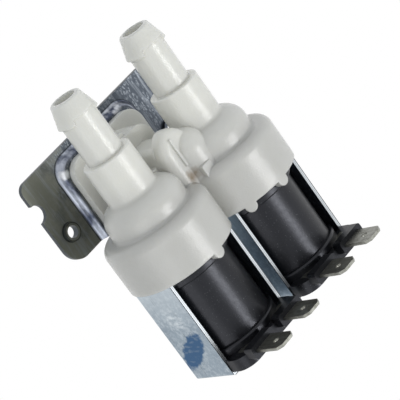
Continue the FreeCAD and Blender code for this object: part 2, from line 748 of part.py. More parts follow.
    coil_foot_z = coil_low + coil_foot_height
    socket_top_z = coil_low + socket_height
    terminal_z = coil_low + terminal_height
    housing = tube(coil_radius, 0, coil_low, coil_top, x, axis_y)
    flange_half_width = yoke_half_width - yoke_sheet - running_gap
    flange_limits = Part.makeBox(2 * flange_half_width, 4 * coil_radius, coil_top - coil_low,
                                 Vector(x - flange_half_width, axis_y - 2 * coil_radius, coil_low))
    head = tube(coil_flange_radius, 0, coil_top - coil_flange, coil_top, x, axis_y)
    head = head.makeFillet(coil_head_rounding, ring_edges(head, coil_flange_radius, coil_top - coil_flange,
                                                          x, axis_y))
    foot = tube(coil_flange_radius, 0, coil_low, coil_foot_z, x, axis_y)
    foot = foot.makeFillet(coil_foot_rounding, ring_edges(foot, coil_flange_radius, coil_foot_z, x, axis_y))
    housing = housing.fuse([head.common(flange_limits), foot.common(flange_limits)])
    socket = Part.makeBox(2 * socket_half_width, -socket_front_y - yoke_half_depth - assembly_gap,
                          socket_height,
                          Vector(x - socket_half_width, axis_y + socket_front_y, coil_low))
    front_corners = []
    for edge in socket.Edges:
        first = edge.Vertexes[0].Point
        last = edge.Vertexes[1].Point
        upright = abs(first.x - last.x) < 0.01 and abs(first.y - last.y) < 0.01
        if upright and abs(first.y - axis_y - socket_front_y) < 0.01:
            front_corners.append(edge)
    socket = socket.makeFillet(socket_corner, front_corners)
    housing = housing.fuse(socket)
    for terminal_side in (-1, 1):
        terminal_x = x + terminal_side * terminal_half_spacing
        collar = rounded_block(terminal_x - terminal_width / 2 - collar_wall,
                               terminal_x + terminal_width / 2 + collar_wall,
                               terminal_z - terminal_sheet / 2 - collar_wall,
                               terminal_z + terminal_sheet / 2 + collar_wall,
                               0.8, axis_y + collar_front_y, axis_y + socket_front_y + 0.5)
        housing = housing.fuse(collar)
    housing = housing.cut(tube(bobbin_flange_radius, 0, bobbin_low, bobbin_top, x, axis_y))
    housing = housing.cut(tube(bobbin_bore, 0, coil_low - 1, coil_top + 1, x, axis_y))
    for number, terminal_side in enumerate((-1, 1)):
        terminal_x = x + terminal_side * terminal_half_spacing
        blade = Part.makeBox(terminal_width, terminal_root_y - terminal_tip_y, terminal_sheet,
                             Vector(terminal_x - terminal_width / 2, axis_y + terminal_tip_y,
                                    terminal_z - terminal_sheet / 2))
        housing = housing.cut(blade)
        tip_edges = []
        for edge in blade.Edges:
            first = edge.Vertexes[0].Point
            last = edge.Vertexes[1].Point
            upright = abs(first.x - last.x) < 0.01 and abs(first.y - last.y) < 0.01
            if upright and abs(first.y - axis_y - terminal_tip_y) < 0.01:
                tip_edges.append(edge)
        blade = blade.makeChamfer(terminal_chamfer, tip_edges)
        blade = blade.cut(tube(terminal_hole_radius, 0, terminal_z - 2, terminal_z + 2, terminal_x,
                               axis_y + terminal_hole_y))
        save("terminal_" + side + "_" + str(number + 1), blade)
    save("coil_housing_" + side, housing.removeSplitter())

    # Push nut that keeps the coil on the guide tube
    nut = tube(push_nut_radius, tube_radius, yoke_low_z - push_nut_sheet, yoke_low_z, x, axis_y)
    for number in range(push_nut_slots):
        slit = Part.makeBox(push_nut_slit_length, push_nut_slit_width, 4 * push_nut_sheet,
                            Vector(tube_radius - assembly_gap, -push_nut_slit_width / 2,
                                   yoke_low_z - 3 * push_nut_sheet))
        slit.rotate(Vector(0, 0, 0), UP, number * 360.0 / push_nut_slots)
        slit.translate(Vector(x, axis_y, 0))
        nut = nut.cut(slit)
    save("push_nut_" + side, nut)

# Inlet strainer and flow regulator
rim_rear = inlet_length - strainer_inset
rim_front = rim_rear - strainer_rim_thickness
basket_front = rim_rear - strainer_length
basket_length = rim_front - basket_front
strainer = rod_along_y(strainer_rim_radius, rim_front, rim_rear)
strainer = strainer.cut(rod_along_y(strainer_rim_radius - strainer_rim_width, rim_front, rim_rear))
basket_outer = Part.makeCone(strainer_tip_radius, strainer_mouth_radius, basket_length, Vector(0,
                                                                                               basket_front,
                                                                                               0), REAR)
basket_inner = Part.makeCone(strainer_tip_radius - strainer_wall, strainer_mouth_radius - strainer_wall,
                             basket_length,
                             Vector(0, basket_front, 0), REAR)
basket = basket_outer.cut(basket_inner)
basket = basket.fuse(rod_along_y(strainer_tip_radius, basket_front, basket_front + strainer_wall))
strainer = strainer.fuse(basket)
for number in range(strainer_window_count):
    window = Part.makeBox(strainer_window_width, basket_length - 2 * strainer_window_margin + 0.4,
                          2 * strainer_rim_radius,
                          Vector(-strainer_window_width / 2, basket_front + strainer_window_margin,
                                 strainer_window_inner))
    window.rotate(Vector(0, 0, 0), REAR, number * 360.0 / strainer_window_count)
    strainer = strainer.cut(window)
strainer = strainer.fuse(Part.makeBox(strainer_rim_width * 2, strainer_length * 0.9, strainer_wall * 2,
                                      Vector(-strainer_rim_width, basket_front + assembly_gap,
                                             -strainer_wall)))
save("inlet_strainer", strainer.removeSplitter())

regulator_rear = basket_front - regulator_gap
regulator_front = flange_rear_y
seat_depth = 2 * regulator_ring_wire + regulator_seat_gap
seat_outer = regulator_ring_radius + regulator_ring_wire + regulator_seat_gap
seat_inner = regulator_ring_radius - regulator_ring_wire - regulator_seat_gap
regulator = rod_along_y(regulator_radius, regulator_front, regulator_rear)
regulator = regulator.cut(rod_along_y(regulator_bore_radius, regulator_front, regulator_rear))
ring_seat = rod_along_y(seat_outer, regulator_rear - seat_depth, regulator_rear)
regulator = regulator.cut(ring_seat.cut(rod_along_y(seat_inner, regulator_rear - seat_depth,
                                                    regulator_rear)))
for number in range(regulator_port_count):
    turn = 2 * math.pi * number / regulator_port_count
    port = rod_along_y(regulator_port_radius, regulator_front, regulator_rear,
                       regulator_ring_radius * math.cos(turn),
                       regulator_ring_radius * math.sin(turn))
    regulator = regulator.cut(port)
save("flow_regulator", regulator)
ring = Part.makeTorus(regulator_ring_radius, regulator_ring_wire, Vector(0, regulator_rear - seat_depth / 2,
                                                                         0), REAR)
save("flow_ring", ring)

total = 0
for name, shape in made.items():
    total += shape.Volume
    box = shape.BoundBox
    print(name, "solids", len(shape.Solids), "valid", shape.isValid(), "volume", round(shape.Volume, 1),
          [round(v, 1) for v in (box.XMin, box.XMax, box.YMin, box.YMax, box.ZMin, box.ZMax)])
print("nodes", len(made), "volume", round(total, 0))
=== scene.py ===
import math
import bpy
import numpy as np
from mathutils import Matrix, Quaternion, Vector


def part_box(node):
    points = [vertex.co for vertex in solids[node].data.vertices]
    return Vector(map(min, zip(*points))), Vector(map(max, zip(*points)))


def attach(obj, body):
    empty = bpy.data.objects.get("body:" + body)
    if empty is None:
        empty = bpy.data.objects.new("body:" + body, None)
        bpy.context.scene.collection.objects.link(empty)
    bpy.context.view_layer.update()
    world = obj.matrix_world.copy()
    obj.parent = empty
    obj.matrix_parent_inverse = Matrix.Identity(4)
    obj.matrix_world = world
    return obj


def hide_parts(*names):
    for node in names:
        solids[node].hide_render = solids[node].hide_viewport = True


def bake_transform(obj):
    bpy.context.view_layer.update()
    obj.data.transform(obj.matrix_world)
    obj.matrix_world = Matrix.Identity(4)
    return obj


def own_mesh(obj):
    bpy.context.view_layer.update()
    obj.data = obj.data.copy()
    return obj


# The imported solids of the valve, in metres. The inlet axis and the rear face of the bracket meet at the
# origin.
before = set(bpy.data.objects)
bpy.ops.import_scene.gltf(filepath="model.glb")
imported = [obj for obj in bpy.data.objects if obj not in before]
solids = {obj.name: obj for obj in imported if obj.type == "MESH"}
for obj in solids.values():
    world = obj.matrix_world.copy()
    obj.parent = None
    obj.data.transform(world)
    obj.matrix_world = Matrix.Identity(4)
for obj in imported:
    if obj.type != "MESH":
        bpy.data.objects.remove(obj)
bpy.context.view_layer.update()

# Valve body. One injection moulding in natural nylon: two cups, two hose spigots, the square flange and the
# threaded inlet behind it. Natural nylon is off-white and a little translucent, so the thin spigots glow
# and thick parts go grey. The glow of the spigots is also painted: the colour turns paler with height, up
# the spigots. Water has left an amber stain in the corner between the two bosses.
NYLON = "#cecdc9"
NYLON_THICK = "#bfbeb9"
NYLON_PAINTED_GLOW = "#e2e1da"
SHANK_START = 0.0150
POLISH_START = SHANK_START - 0.0004
GLOW_PAINT_START = -0.0040
GLOW_PAINT_END = 0.0090
MOULD_EDGE = 0.0005
GLOW_DEPTH = 0.0030
WATER_STAIN = "#79603a"
STAIN_POINT = (-0.0008, -0.0290, -0.0034)
STAIN_REACH = 0.0024
# A pattern's scale is in cells per metre, so 2 cells to a millimetre make a grain of half a millimetre.
PER_MILLIMETRE = 1000.0
CLOUD_SCALE = 0.09 * PER_MILLIMETRE
RIPPLE_SCALE = 2.0 * PER_MILLIMETRE
TEAR_SCALE = 0.7 * PER_MILLIMETRE
BUMP_DEPTH = 0.0001


def linear(hex_colour):
    """The linear red, green, blue and alpha of an sRGB hex colour."""
    shares = [int(hex_colour[place:place + 2], 16) / 255.0 for place in (1, 3, 5)]
    return tuple(v / 12.92 if v <= 0.04045 else ((v + 0.055) / 1.055) ** 2.4 for v in shares) + (1.0,)


def add_node(tree, kind, settings=None, links=None):
    """Adds one shader node. settings are properties and sockets by name, links are fed by (node, socket)."""
    node = tree.nodes.new(kind)
    for name, value in (settings or {}).items():
        if isinstance(name, int) or name in node.inputs.keys():
            node.inputs[name].default_value = value
        else:
            setattr(node, name, value)
    for name, (source, socket) in (links or {}).items():
        tree.links.new(source.outputs[socket], node.inputs[name])
    return node


def new_finish(name):
    """An empty material with its principled shader, node tree and the Object coordinates."""
    material = bpy.data.materials.new(name)
    material.use_nodes = True
    tree = material.node_tree
    shader = tree.nodes["Principled BSDF"]
    place = add_node(tree, "ShaderNodeTexCoord")
    return material, tree, shader, place


def spot(tree, place, centre, reach, turn=0.0, ragged=0.0, soft=0.3):
    """1 inside a soft ellipsoid with half sizes reach, turned by turn degrees about X, and 0 outside."""
    shifted = add_node(tree, "ShaderNodeVectorMath", {"operation": "SUBTRACT", 1: centre},
                       {0: (place, "Object")})
    rolled = add_node(tree, "ShaderNodeVectorRotate",
                      {"rotation_type": "X_AXIS", "Angle": math.radians(turn)},
                      {"Vector": (shifted, "Vector")})
    sized = add_node(tree, "ShaderNodeVectorMath", {"operation": "DIVIDE", 1: reach},
                     {0: (rolled, "Vector")})
    away = add_node(tree, "ShaderNodeVectorMath", {"operation": "LENGTH"}, {0: (sized, "Vector")})
    torn = add_node(tree, "ShaderNodeTexNoise", {"Scale": TEAR_SCALE, "Detail": 5.0},
                    {"Vector": (place, "Object")})
    torn_by = add_node(tree, "ShaderNodeMapRange", {"To Min": -ragged, "To Max": ragged},
                       {"Value": (torn, "Fac")})
    edge = add_node(tree, "ShaderNodeMath", {"operation": "ADD"},
                    {0: (away, "Value"), 1: (torn_by, "Result")})
    return add_node(tree, "ShaderNodeMapRange", {"From Min": 1.0, "From Max": 1.0 - soft},
                    {"Value": (edge, "Value")})


def dress(node_names, material):
    """Gives CAD nodes this material in every slot."""
    for name in node_names:
        mesh = solids[name].data
        mesh.materials.clear()
        mesh.materials.append(material)


nylon, tree, shader, place = new_finish("moulded_natural_nylon")
cloud = add_node(tree, "ShaderNodeTexNoise", {"Scale": CLOUD_SCALE, "Detail": 3.0},
                 {"Vector": (place, "Object")})
tone = add_node(tree, "ShaderNodeMix", {"data_type": "RGBA", 6: linear(NYLON), 7: linear(NYLON_THICK)},
                {0: (cloud, "Fac")})
parts = add_node(tree, "ShaderNodeSeparateXYZ", {}, {0: (place, "Object")})
# Painted glow: the colour is made paler with height, up towards the spigots.
painted_glow_share = add_node(tree, "ShaderNodeMapRange", {"From Min": GLOW_PAINT_START, "From Max": GLOW_PAINT_END},
                      {"Value": (parts, "Z")})
painted_glow_tone = add_node(tree, "ShaderNodeMix", {"data_type": "RGBA", 7: linear(NYLON_PAINTED_GLOW)},
                     {0: (painted_glow_share, "Result"), 6: (tone, 2)})
stain_share = spot(tree, place, STAIN_POINT, (STAIN_REACH,) * 3, ragged=0.35, soft=0.8)
stained = add_node(tree, "ShaderNodeMix", {"data_type": "RGBA", 7: linear(WATER_STAIN)},
                   {0: (stain_share, "Result"), 6: (painted_glow_tone, 2)})
rounded = add_node(tree, "ShaderNodeBevel", {"samples": 6, "Radius": MOULD_EDGE})
ripple = add_node(tree, "ShaderNodeTexNoise", {"Scale": RIPPLE_SCALE, "Detail": 4.0, "Roughness": 0.65},
                  {"Vector": (place, "Object")})
skin = add_node(tree, "ShaderNodeBump", {"Strength": 0.68, "Distance": BUMP_DEPTH},
                {"Height": (ripple, "Fac"), "Normal": (rounded, "Normal")})
tree.links.new(stained.outputs[2], shader.inputs["Base Color"])
tree.links.new(skin.outputs["Normal"], shader.inputs["Normal"])
# The core pins of the mould were polished, so the spigots shine more than the cups.
polish = add_node(tree, "ShaderNodeMapRange",
                  {"From Min": POLISH_START, "From Max": SHANK_START, "To Min": 0.23, "To Max": 0.17},
                  {"Value": (parts, "Z")})
tree.links.new(polish.outputs["Result"], shader.inputs["Roughness"])
shader.inputs["IOR"].default_value = 1.53
shader.inputs["Subsurface Weight"].default_value = 0.5
shader.inputs["Subsurface Radius"].default_value = (1.0, 0.98, 0.88)
shader.inputs["Subsurface Scale"].default_value = GLOW_DEPTH
dress(["valve_body"], nylon)

# Inlet thread. The ridges of a G 3/4 thread, moulded with the body in the same nylon. They run from the
# bracket to the mouth and fade out at both ends.
THREAD_ROOT = 0.01206
THREAD_CREST = 0.01322
THREAD_PITCH = 0.001814
THREAD_START = 0.0008
THREAD_END = 0.0134
THREAD_FADE = 0.0016
THREAD_SINK = 0.00004
THREAD_BASE = THREAD_ROOT - 4.0 * THREAD_SINK
THREAD_STEEPNESS = 1.35
THREAD_STEPS = 84
THREAD_AROUND = 112
along = np.linspace(THREAD_START, THREAD_END, THREAD_STEPS)
around = np.linspace(0.0, 2.0 * math.pi, THREAD_AROUND, endpoint=False)


def thread_points(along, around):
    """Points of the ridged ring. The ridge is a triangle wave of y / pitch - angle / turn with a cut top."""
    y, angle = np.meshgrid(along, around, indexing="ij")
    phase = (y / THREAD_PITCH - angle / (2.0 * math.pi)) % 1.0
    ridge = np.clip(THREAD_STEEPNESS * (1.0 - np.abs(2.0 * phase - 1.0)), 0.0, 1.0)
    fade = np.clip(np.minimum(y - THREAD_START, THREAD_END - y) / THREAD_FADE, 0.0, 1.0)
    radius = THREAD_ROOT - THREAD_SINK + (THREAD_CREST - THREAD_ROOT) * ridge * fade
    skin = np.stack([radius * np.cos(angle), y, radius * np.sin(angle)], axis=-1)
    inside = np.stack([THREAD_BASE * np.cos(angle), y, THREAD_BASE * np.sin(angle)], axis=-1)[[-1, 0]]
    return np.concatenate([skin, inside]).reshape(-1, 3)


def closed_grid_faces(rings, steps, closed_rings):
    """Quads between each ring of points and the next, also from the last to the first if closed_rings."""
    ring_count = rings if closed_rings else rings - 1
    ring, step = np.meshgrid(np.arange(ring_count), np.arange(steps), indexing="ij")
    ahead = (ring + 1) % rings
    following = (step + 1) % steps
    quads = [ring * steps + step, ahead * steps + step, ahead * steps + following, ring * steps + following]
    return np.stack(quads, axis=-1).reshape(-1, 4).tolist()


thread_faces = closed_grid_faces(THREAD_STEPS + 2, THREAD_AROUND, True)
thread_mesh = bpy.data.meshes.new("inlet_thread")
thread_mesh.from_pydata(thread_points(along, around).tolist(), [], thread_faces)
thread_mesh.polygons.foreach_set("use_smooth", [True] * len(thread_faces))
thread_mesh.materials.append(nylon)
inlet_thread = bpy.data.objects.new("inlet_thread", thread_mesh)
bpy.context.scene.collection.objects.link(inlet_thread)
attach(inlet_thread, "valve")

# Steel bracket. Pressed from 1.2 mm hot-dip galvanised sheet, then slid over the groove behind the flange.
# The wings are painted a lighter olive grey and the zinc between them darker, a painted reflection, and the
# bright specks of the zinc show mostly in the middle, with drawn scratches. The bare sheared edges are
# painted dark, bare steel with painted shade. The step round the pad has painted highlights and shade in
# streaks, a painted dark line at its crease and painted glints.
WING_PAINTED_REFLECTION = "#8c8e85"
MIDDLE_PAINTED_REFLECTION = "#50565e"
SPECK = "#a9b0b8"
STEP_PAINTED_HIGHLIGHT = "#a6acb8"
STEP_PAINTED_SHADE = "#4a5060"
SHEARED_BARE_AND_SHADED = "#4b5054"
HOLE_RING = "#3c3f3e"
STEP_CREASE_PAINTED_SHADE = "#30343a"
PAINTED_GLINT_WHITE = "#e3e6ea"
REFLECTION_PAINT_START = -0.0100
REFLECTION_PAINT_FULL = -0.0190
REFLECTION_PAINT_WANDER = 0.0060
SCREW_HOLE = (-0.0215, -0.0012, 0.0)
RING_RADIUS = 0.0025
RING_LINE = 0.00022
# Painted glints: bright spots on the step round the pad.
CORNER_PAINTED_GLINT = (-0.0139, -0.0018, 0.0120)
CORNER_GLINT_REACH = (0.0015, 0.0040, 0.0015)
LOWER_PAINTED_GLINT = (-0.0133, -0.0018, 0.0003)
LOWER_GLINT_REACH = (0.0008, 0.0040, 0.0011)
ARCH_PAINTED_GLINT = (0.0092, -0.0018, 0.0147)
ARCH_GLINT_REACH = (0.0050, 0.0040, 0.0014)
GRAIN_SCALE = 3.4 * PER_MILLIMETRE
WANDER_SCALE = 0.12 * PER_MILLIMETRE
STREAKS_SCALE = 1.1 * PER_MILLIMETRE
PATCHES_SCALE = 0.22 * PER_MILLIMETRE
STEP_STREAK_SCALE = 0.35 * PER_MILLIMETRE
galvanised, tree, shader, place = new_finish("galvanised_sheet_steel")
parts = add_node(tree, "ShaderNodeSeparateXYZ", {}, {0: (place, "Object")})
surface = add_node(tree, "ShaderNodeNewGeometry")
facing = add_node(tree, "ShaderNodeSeparateXYZ", {}, {0: (surface, "Normal")})
# Painted reflection: the wings are painted lighter and the middle darker, across a wandering border.
wander = add_node(tree, "ShaderNodeTexNoise", {"Scale": WANDER_SCALE, "Detail": 4.0, "Roughness": 0.6},
                  {"Vector": (place, "Object")})
wandering = add_node(tree, "ShaderNodeMapRange",
                     {"From Min": 0.3, "From Max": 0.7, "To Min": -REFLECTION_PAINT_WANDER, "To Max": REFLECTION_PAINT_WANDER},
                     {"Value": (wander, "Fac")})
painted_reflection_edge = add_node(tree, "ShaderNodeMath", {"operation": "ADD"},
                     {0: (parts, "X"), 1: (wandering, "Result")})
painted_reflection_share = add_node(tree, "ShaderNodeMapRange", {"From Min": REFLECTION_PAINT_START, "From Max": REFLECTION_PAINT_FULL},
                      {"Value": (painted_reflection_edge, "Value")})
painted_reflection_tone = add_node(tree, "ShaderNodeMix", {"data_type": "RGBA", 6: linear(MIDDLE_PAINTED_REFLECTION), 7: linear(WING_PAINTED_REFLECTION)},
                     {0: (painted_reflection_share, "Result")})
streaks_place = add_node(tree, "ShaderNodeMapping", {"Scale": (1.0, 1.0, 0.08)},
                         {"Vector": (place, "Object")})
streaks = add_node(tree, "ShaderNodeTexNoise", {"Scale": STREAKS_SCALE, "Detail": 5.0, "Roughness": 0.6},
                   {"Vector": (streaks_place, "Vector")})
streak_share = add_node(tree, "ShaderNodeMapRange", {"From Min": 0.50, "From Max": 0.72, "To Max": 0.5},
                        {"Value": (streaks, "Fac")})
streaked = add_node(tree, "ShaderNodeMix", {"data_type": "RGBA", 7: linear(SPECK)},
                    {0: (streak_share, "Result"), 6: (painted_reflection_tone, 2)})
drawn_place = add_node(tree, "ShaderNodeMapping", {"Scale": (1.0, 1.0, 0.45)},
                       {"Vector": (place, "Object")})
grains = add_node(tree, "ShaderNodeTexVoronoi", {"Scale": GRAIN_SCALE}, {"Vector": (drawn_place, "Vector")})
grain_value = add_node(tree, "ShaderNodeSeparateColor", {}, {0: (grains, "Color")})
patches = add_node(tree, "ShaderNodeTexNoise", {"Scale": PATCHES_SCALE, "Detail": 4.0, "Roughness": 0.6},
                   {"Vector": (place, "Object")})
speckled = add_node(tree, "ShaderNodeMath", {"operation": "MULTIPLY"},
                    {0: (grain_value, "Red"), 1: (patches, "Fac")})
speck_high = add_node(tree, "ShaderNodeMapRange", {"From Min": 0.34, "From Max": 0.58, "To Max": 0.6},
                      {"Value": (speckled, "Value")})
middle_painted_reflection_share = add_node(tree, "ShaderNodeMapRange", {"To Min": 1.0, "To Max": 0.18},
                        {"Value": (painted_reflection_share, "Result")})
speck_share = add_node(tree, "ShaderNodeMath", {"operation": "MULTIPLY"},
                       {0: (speck_high, "Result"), 1: (middle_painted_reflection_share, "Result")})
specked = add_node(tree, "ShaderNodeMix", {"data_type": "RGBA", 7: linear(SPECK)},
                   {0: (speck_share, "Value"), 6: (streaked, 2)})
outward = add_node(tree, "ShaderNodeMath", {"operation": "ABSOLUTE"}, {0: (facing, "Y")})
from_hole = add_node(tree, "ShaderNodeVectorMath", {"operation": "DISTANCE", 1: SCREW_HOLE},
                     {0: (place, "Object")})
ring_rise = add_node(tree, "ShaderNodeMapRange",
                     {"From Min": RING_RADIUS - RING_LINE, "From Max": RING_RADIUS},
                     {"Value": (from_hole, "Value")})
ring_fall = add_node(tree, "ShaderNodeMapRange",
                     {"From Min": RING_RADIUS + RING_LINE, "From Max": RING_RADIUS},
                     {"Value": (from_hole, "Value")})
ring_share = add_node(tree, "ShaderNodeMath", {"operation": "MULTIPLY"},
                      {0: (ring_rise, "Result"), 1: (ring_fall, "Result")})
ringed = add_node(tree, "ShaderNodeMix", {"data_type": "RGBA", 7: linear(HOLE_RING)},
                  {0: (ring_share, "Value"), 6: (specked, 2)})
step_share = add_node(tree, "ShaderNodeMapRange", {"From Min": 0.95, "From Max": 0.90},
                      {"Value": (outward, "Value")})
# Painted shade: a dark line where the surface starts to turn away from the front, at the crease of the step.
crease_shade_share = add_node(tree, "ShaderNodeMapRange", {"From Min": 0.998, "From Max": 0.985, "To Max": 0.75},
                        {"Value": (outward, "Value")})
crease_shaded = add_node(tree, "ShaderNodeMix", {"data_type": "RGBA", 7: linear(STEP_CREASE_PAINTED_SHADE)},
                    {0: (crease_shade_share, "Result"), 6: (ringed, 2)})
# Painted highlight and shade on the step round the pad: bright and dark streaks on faces turned away from
# the front.
step_streaks_place = add_node(tree, "ShaderNodeMapping", {"Scale": (1.0, 1.0, 0.5)},
                         {"Vector": (place, "Object")})
step_streaks = add_node(tree, "ShaderNodeTexNoise", {"Scale": STEP_STREAK_SCALE, "Detail": 5.0},
                   {"Vector": (step_streaks_place, "Vector")})
step_streak_share = add_node(tree, "ShaderNodeMapRange", {"From Min": 0.38, "From Max": 0.60},
                         {"Value": (step_streaks, "Fac")})
step_painted_light = add_node(tree, "ShaderNodeMix",
                     {"data_type": "RGBA", 6: linear(STEP_PAINTED_SHADE), 7: linear(STEP_PAINTED_HIGHLIGHT)},
                     {0: (step_streak_share, "Result")})
stepped = add_node(tree, "ShaderNodeMix", {"data_type": "RGBA"},
                   {0: (step_share, "Result"), 6: (crease_shaded, 2), 7: (step_painted_light, 2)})
# Painted glints: three bright spots, at the corner, the lower edge and the arch of the step.
corner_glint = spot(tree, place, CORNER_PAINTED_GLINT, CORNER_GLINT_REACH, ragged=0.4, soft=0.5)
lower_glint = spot(tree, place, LOWER_PAINTED_GLINT, LOWER_GLINT_REACH, ragged=0.3, soft=0.6)
arch_glint_spot = spot(tree, place, ARCH_PAINTED_GLINT, ARCH_GLINT_REACH, ragged=0.4, soft=0.8)
arch_glint = add_node(tree, "ShaderNodeMath", {"operation": "MULTIPLY"},
                      {0: (arch_glint_spot, "Result"), 1: (step_streak_share, "Result")})
two_glints = add_node(tree, "ShaderNodeMath", {"operation": "MAXIMUM"},
                       {0: (corner_glint, "Result"), 1: (lower_glint, "Result")})
painted_glints = add_node(tree, "ShaderNodeMath", {"operation": "MAXIMUM"},
                   {0: (two_glints, "Value"), 1: (arch_glint, "Value")})
glinted = add_node(tree, "ShaderNodeMix", {"data_type": "RGBA", 7: linear(PAINTED_GLINT_WHITE)},
                   {0: (painted_glints, "Value"), 6: (stepped, 2)})
# The sheared edges are bare steel, painted dark as painted shade.
sheared_shade_share = add_node(tree, "ShaderNodeMapRange", {"From Min": 0.25, "From Max": 0.15},
                         {"Value": (outward, "Value")})
edge_shaded = add_node(tree, "ShaderNodeMix", {"data_type": "RGBA", 7: linear(SHEARED_BARE_AND_SHADED)},
                 {0: (sheared_shade_share, "Result"), 6: (glinted, 2)})
zinc_rough = add_node(tree, "ShaderNodeMapRange", {"To Min": 0.30, "To Max": 0.46},
                      {"Value": (patches, "Fac")})
zinc_bump = add_node(tree, "ShaderNodeBump", {"Strength": 0.15, "Distance": BUMP_DEPTH},
                     {"Height": (speck_share, "Value")})
tree.links.new(edge_shaded.outputs[2], shader.inputs["Base Color"])
tree.links.new(zinc_rough.outputs["Result"], shader.inputs["Roughness"])
tree.links.new(zinc_bump.outputs["Normal"], shader.inputs["Normal"])
shader.inputs["Metallic"].default_value = 1.0
dress(["bracket"], galvanised)

# Yokes, pole plates and sleeves. Folded and stamped mild steel strip, bright zinc plated before stamping,
# so the cut front edges are bare: bright with a darker torn line in the middle, with painted shade at both
# borders.
# The plating is painted lighter towards the top, painted light. The outer face of the left yoke has scuffs,
# a few scratches and a dab of blue inspection ink.
ZINC = "#9caab5"
ZINC_DARK = "#84919d"
ZINC_BRIGHT = "#ccd5db"
CUT_EDGE = "#b9bec2"
TORN_LINE = "#74787c"
EDGE_SHADOW = "#25282b"
SCUFF = "#d3dbe0"
SCRATCH = "#565f68"
INK = "#33597f"
YOKE_SHEET = 0.0011
yoke_low, yoke_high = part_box("yoke_right")
YOKE_MIDDLE = (yoke_low[0] + yoke_high[0]) / 2.0
YOKE_OUTSIDE = (yoke_high[0] - yoke_low[0]) / 2.0
TOP_LIGHT_START = -0.0300
TOP_LIGHT_FULL = -0.0200
SWIRL_POINT = (-0.0264, -0.0238, -0.0272)
SWIRL_REACH = (0.0040, 0.0042, 0.0052)
SWIRL_TURN = 40.0
INK_POINT = (-0.0264, -0.0219, -0.0371)
INK_REACH = (0.0020, 0.0086, 0.0031)
INK_TURN = 39.0
DRAWN_SCALE = 1.6 * PER_MILLIMETRE
SCUFFS_SCALE = 0.2 * PER_MILLIMETRE
MOTTLE_SCALE = 1.0 * PER_MILLIMETRE
HAIRS_SCALE = 2.2 * PER_MILLIMETRE
RUB_LINES_SCALE = 0.9 * PER_MILLIMETRE
STROKES_SCALE = 0.9 * PER_MILLIMETRE


def both(*stems):
    """The left and right node names of each stem."""
    return [stem + side for stem in stems for side in ("_left", "_right")]


plated, tree, shader, place = new_finish("bright_zinc_plated_strip")
drawn_place = add_node(tree, "ShaderNodeMapping", {"Scale": (1.0, 1.0, 0.03)},
                       {"Vector": (place, "Object")})
drawn = add_node(tree, "ShaderNodeTexNoise", {"Scale": DRAWN_SCALE, "Detail": 4.0},
                 {"Vector": (drawn_place, "Vector")})
scuffs = add_node(tree, "ShaderNodeTexNoise", {"Scale": SCUFFS_SCALE, "Detail": 5.0},
                  {"Vector": (place, "Object")})
plate_tone = add_node(tree, "ShaderNodeMix", {"data_type": "RGBA", 6: linear(ZINC), 7: linear(ZINC_DARK)},
                      {0: (scuffs, "Fac")})
parts = add_node(tree, "ShaderNodeSeparateXYZ", {}, {0: (place, "Object")})
# Painted light: the plating is made lighter towards the top.
top_light_share = add_node(tree, "ShaderNodeMapRange",
                       {"From Min": TOP_LIGHT_START, "From Max": TOP_LIGHT_FULL, "To Max": 0.5},
                       {"Value": (parts, "Z")})
top_lit_tone = add_node(tree, "ShaderNodeMix", {"data_type": "RGBA", 7: linear(ZINC_BRIGHT)},
                      {0: (top_light_share, "Result"), 6: (plate_tone, 2)})
mottle = add_node(tree, "ShaderNodeTexNoise", {"Scale": MOTTLE_SCALE, "Detail": 5.0, "Roughness": 0.7},
                  {"Vector": (place, "Object")})
mottle_share = add_node(tree, "ShaderNodeMapRange", {"From Min": 0.46, "From Max": 0.64, "To Max": 0.45},
                        {"Value": (mottle, "Fac")})
mottled = add_node(tree, "ShaderNodeMix", {"data_type": "RGBA", 7: linear(ZINC_BRIGHT)},
                   {0: (mottle_share, "Result"), 6: (top_lit_tone, 2)})
hairs_place = add_node(tree, "ShaderNodeMapping", {"Scale": (1.0, 1.0, 0.05)},
                       {"Vector": (place, "Object")})
hairs = add_node(tree, "ShaderNodeTexNoise", {"Scale": HAIRS_SCALE, "Detail": 2.0},
                 {"Vector": (hairs_place, "Vector")})
hair_share = add_node(tree, "ShaderNodeMapRange", {"From Min": 0.66, "From Max": 0.72, "To Max": 0.5},
                      {"Value": (hairs, "Fac")})
scratched = add_node(tree, "ShaderNodeMix", {"data_type": "RGBA", 7: linear(SCRATCH)},
                     {0: (hair_share, "Result"), 6: (mottled, 2)})
swirl = spot(tree, place, SWIRL_POINT, SWIRL_REACH, SWIRL_TURN, ragged=0.8, soft=0.7)
rub_lines_place = add_node(tree, "ShaderNodeMapping", {"Scale": (1.0, 0.3, 1.0)},
                           {"Vector": (place, "Object")})
rub_lines = add_node(tree, "ShaderNodeTexNoise",
                     {"Scale": RUB_LINES_SCALE, "Detail": 5.0, "Roughness": 0.7},
                     {"Vector": (rub_lines_place, "Vector")})
rub_share = add_node(tree, "ShaderNodeMapRange", {"From Min": 0.42, "From Max": 0.62, "To Max": 0.9},
                     {"Value": (rub_lines, "Fac")})
rub = add_node(tree, "ShaderNodeMath", {"operation": "MULTIPLY"},
               {0: (swirl, "Result"), 1: (rub_share, "Result")})
rubbed = add_node(tree, "ShaderNodeMix", {"data_type": "RGBA", 7: linear(SCUFF)},
                  {0: (rub, "Value"), 6: (scratched, 2)})
ink_spot = spot(tree, place, INK_POINT, INK_REACH, INK_TURN, ragged=0.3, soft=0.2)
strokes_place = add_node(tree, "ShaderNodeMapping", {"Scale": (1.0, 0.35, 1.0)},
                         {"Vector": (place, "Object")})
strokes = add_node(tree, "ShaderNodeTexNoise", {"Scale": STROKES_SCALE, "Detail": 3.0},
                   {"Vector": (strokes_place, "Vector")})
ink_break = add_node(tree, "ShaderNodeMapRange", {"From Min": 0.28, "From Max": 0.46, "To Min": 0.6},
                     {"Value": (strokes, "Fac")})
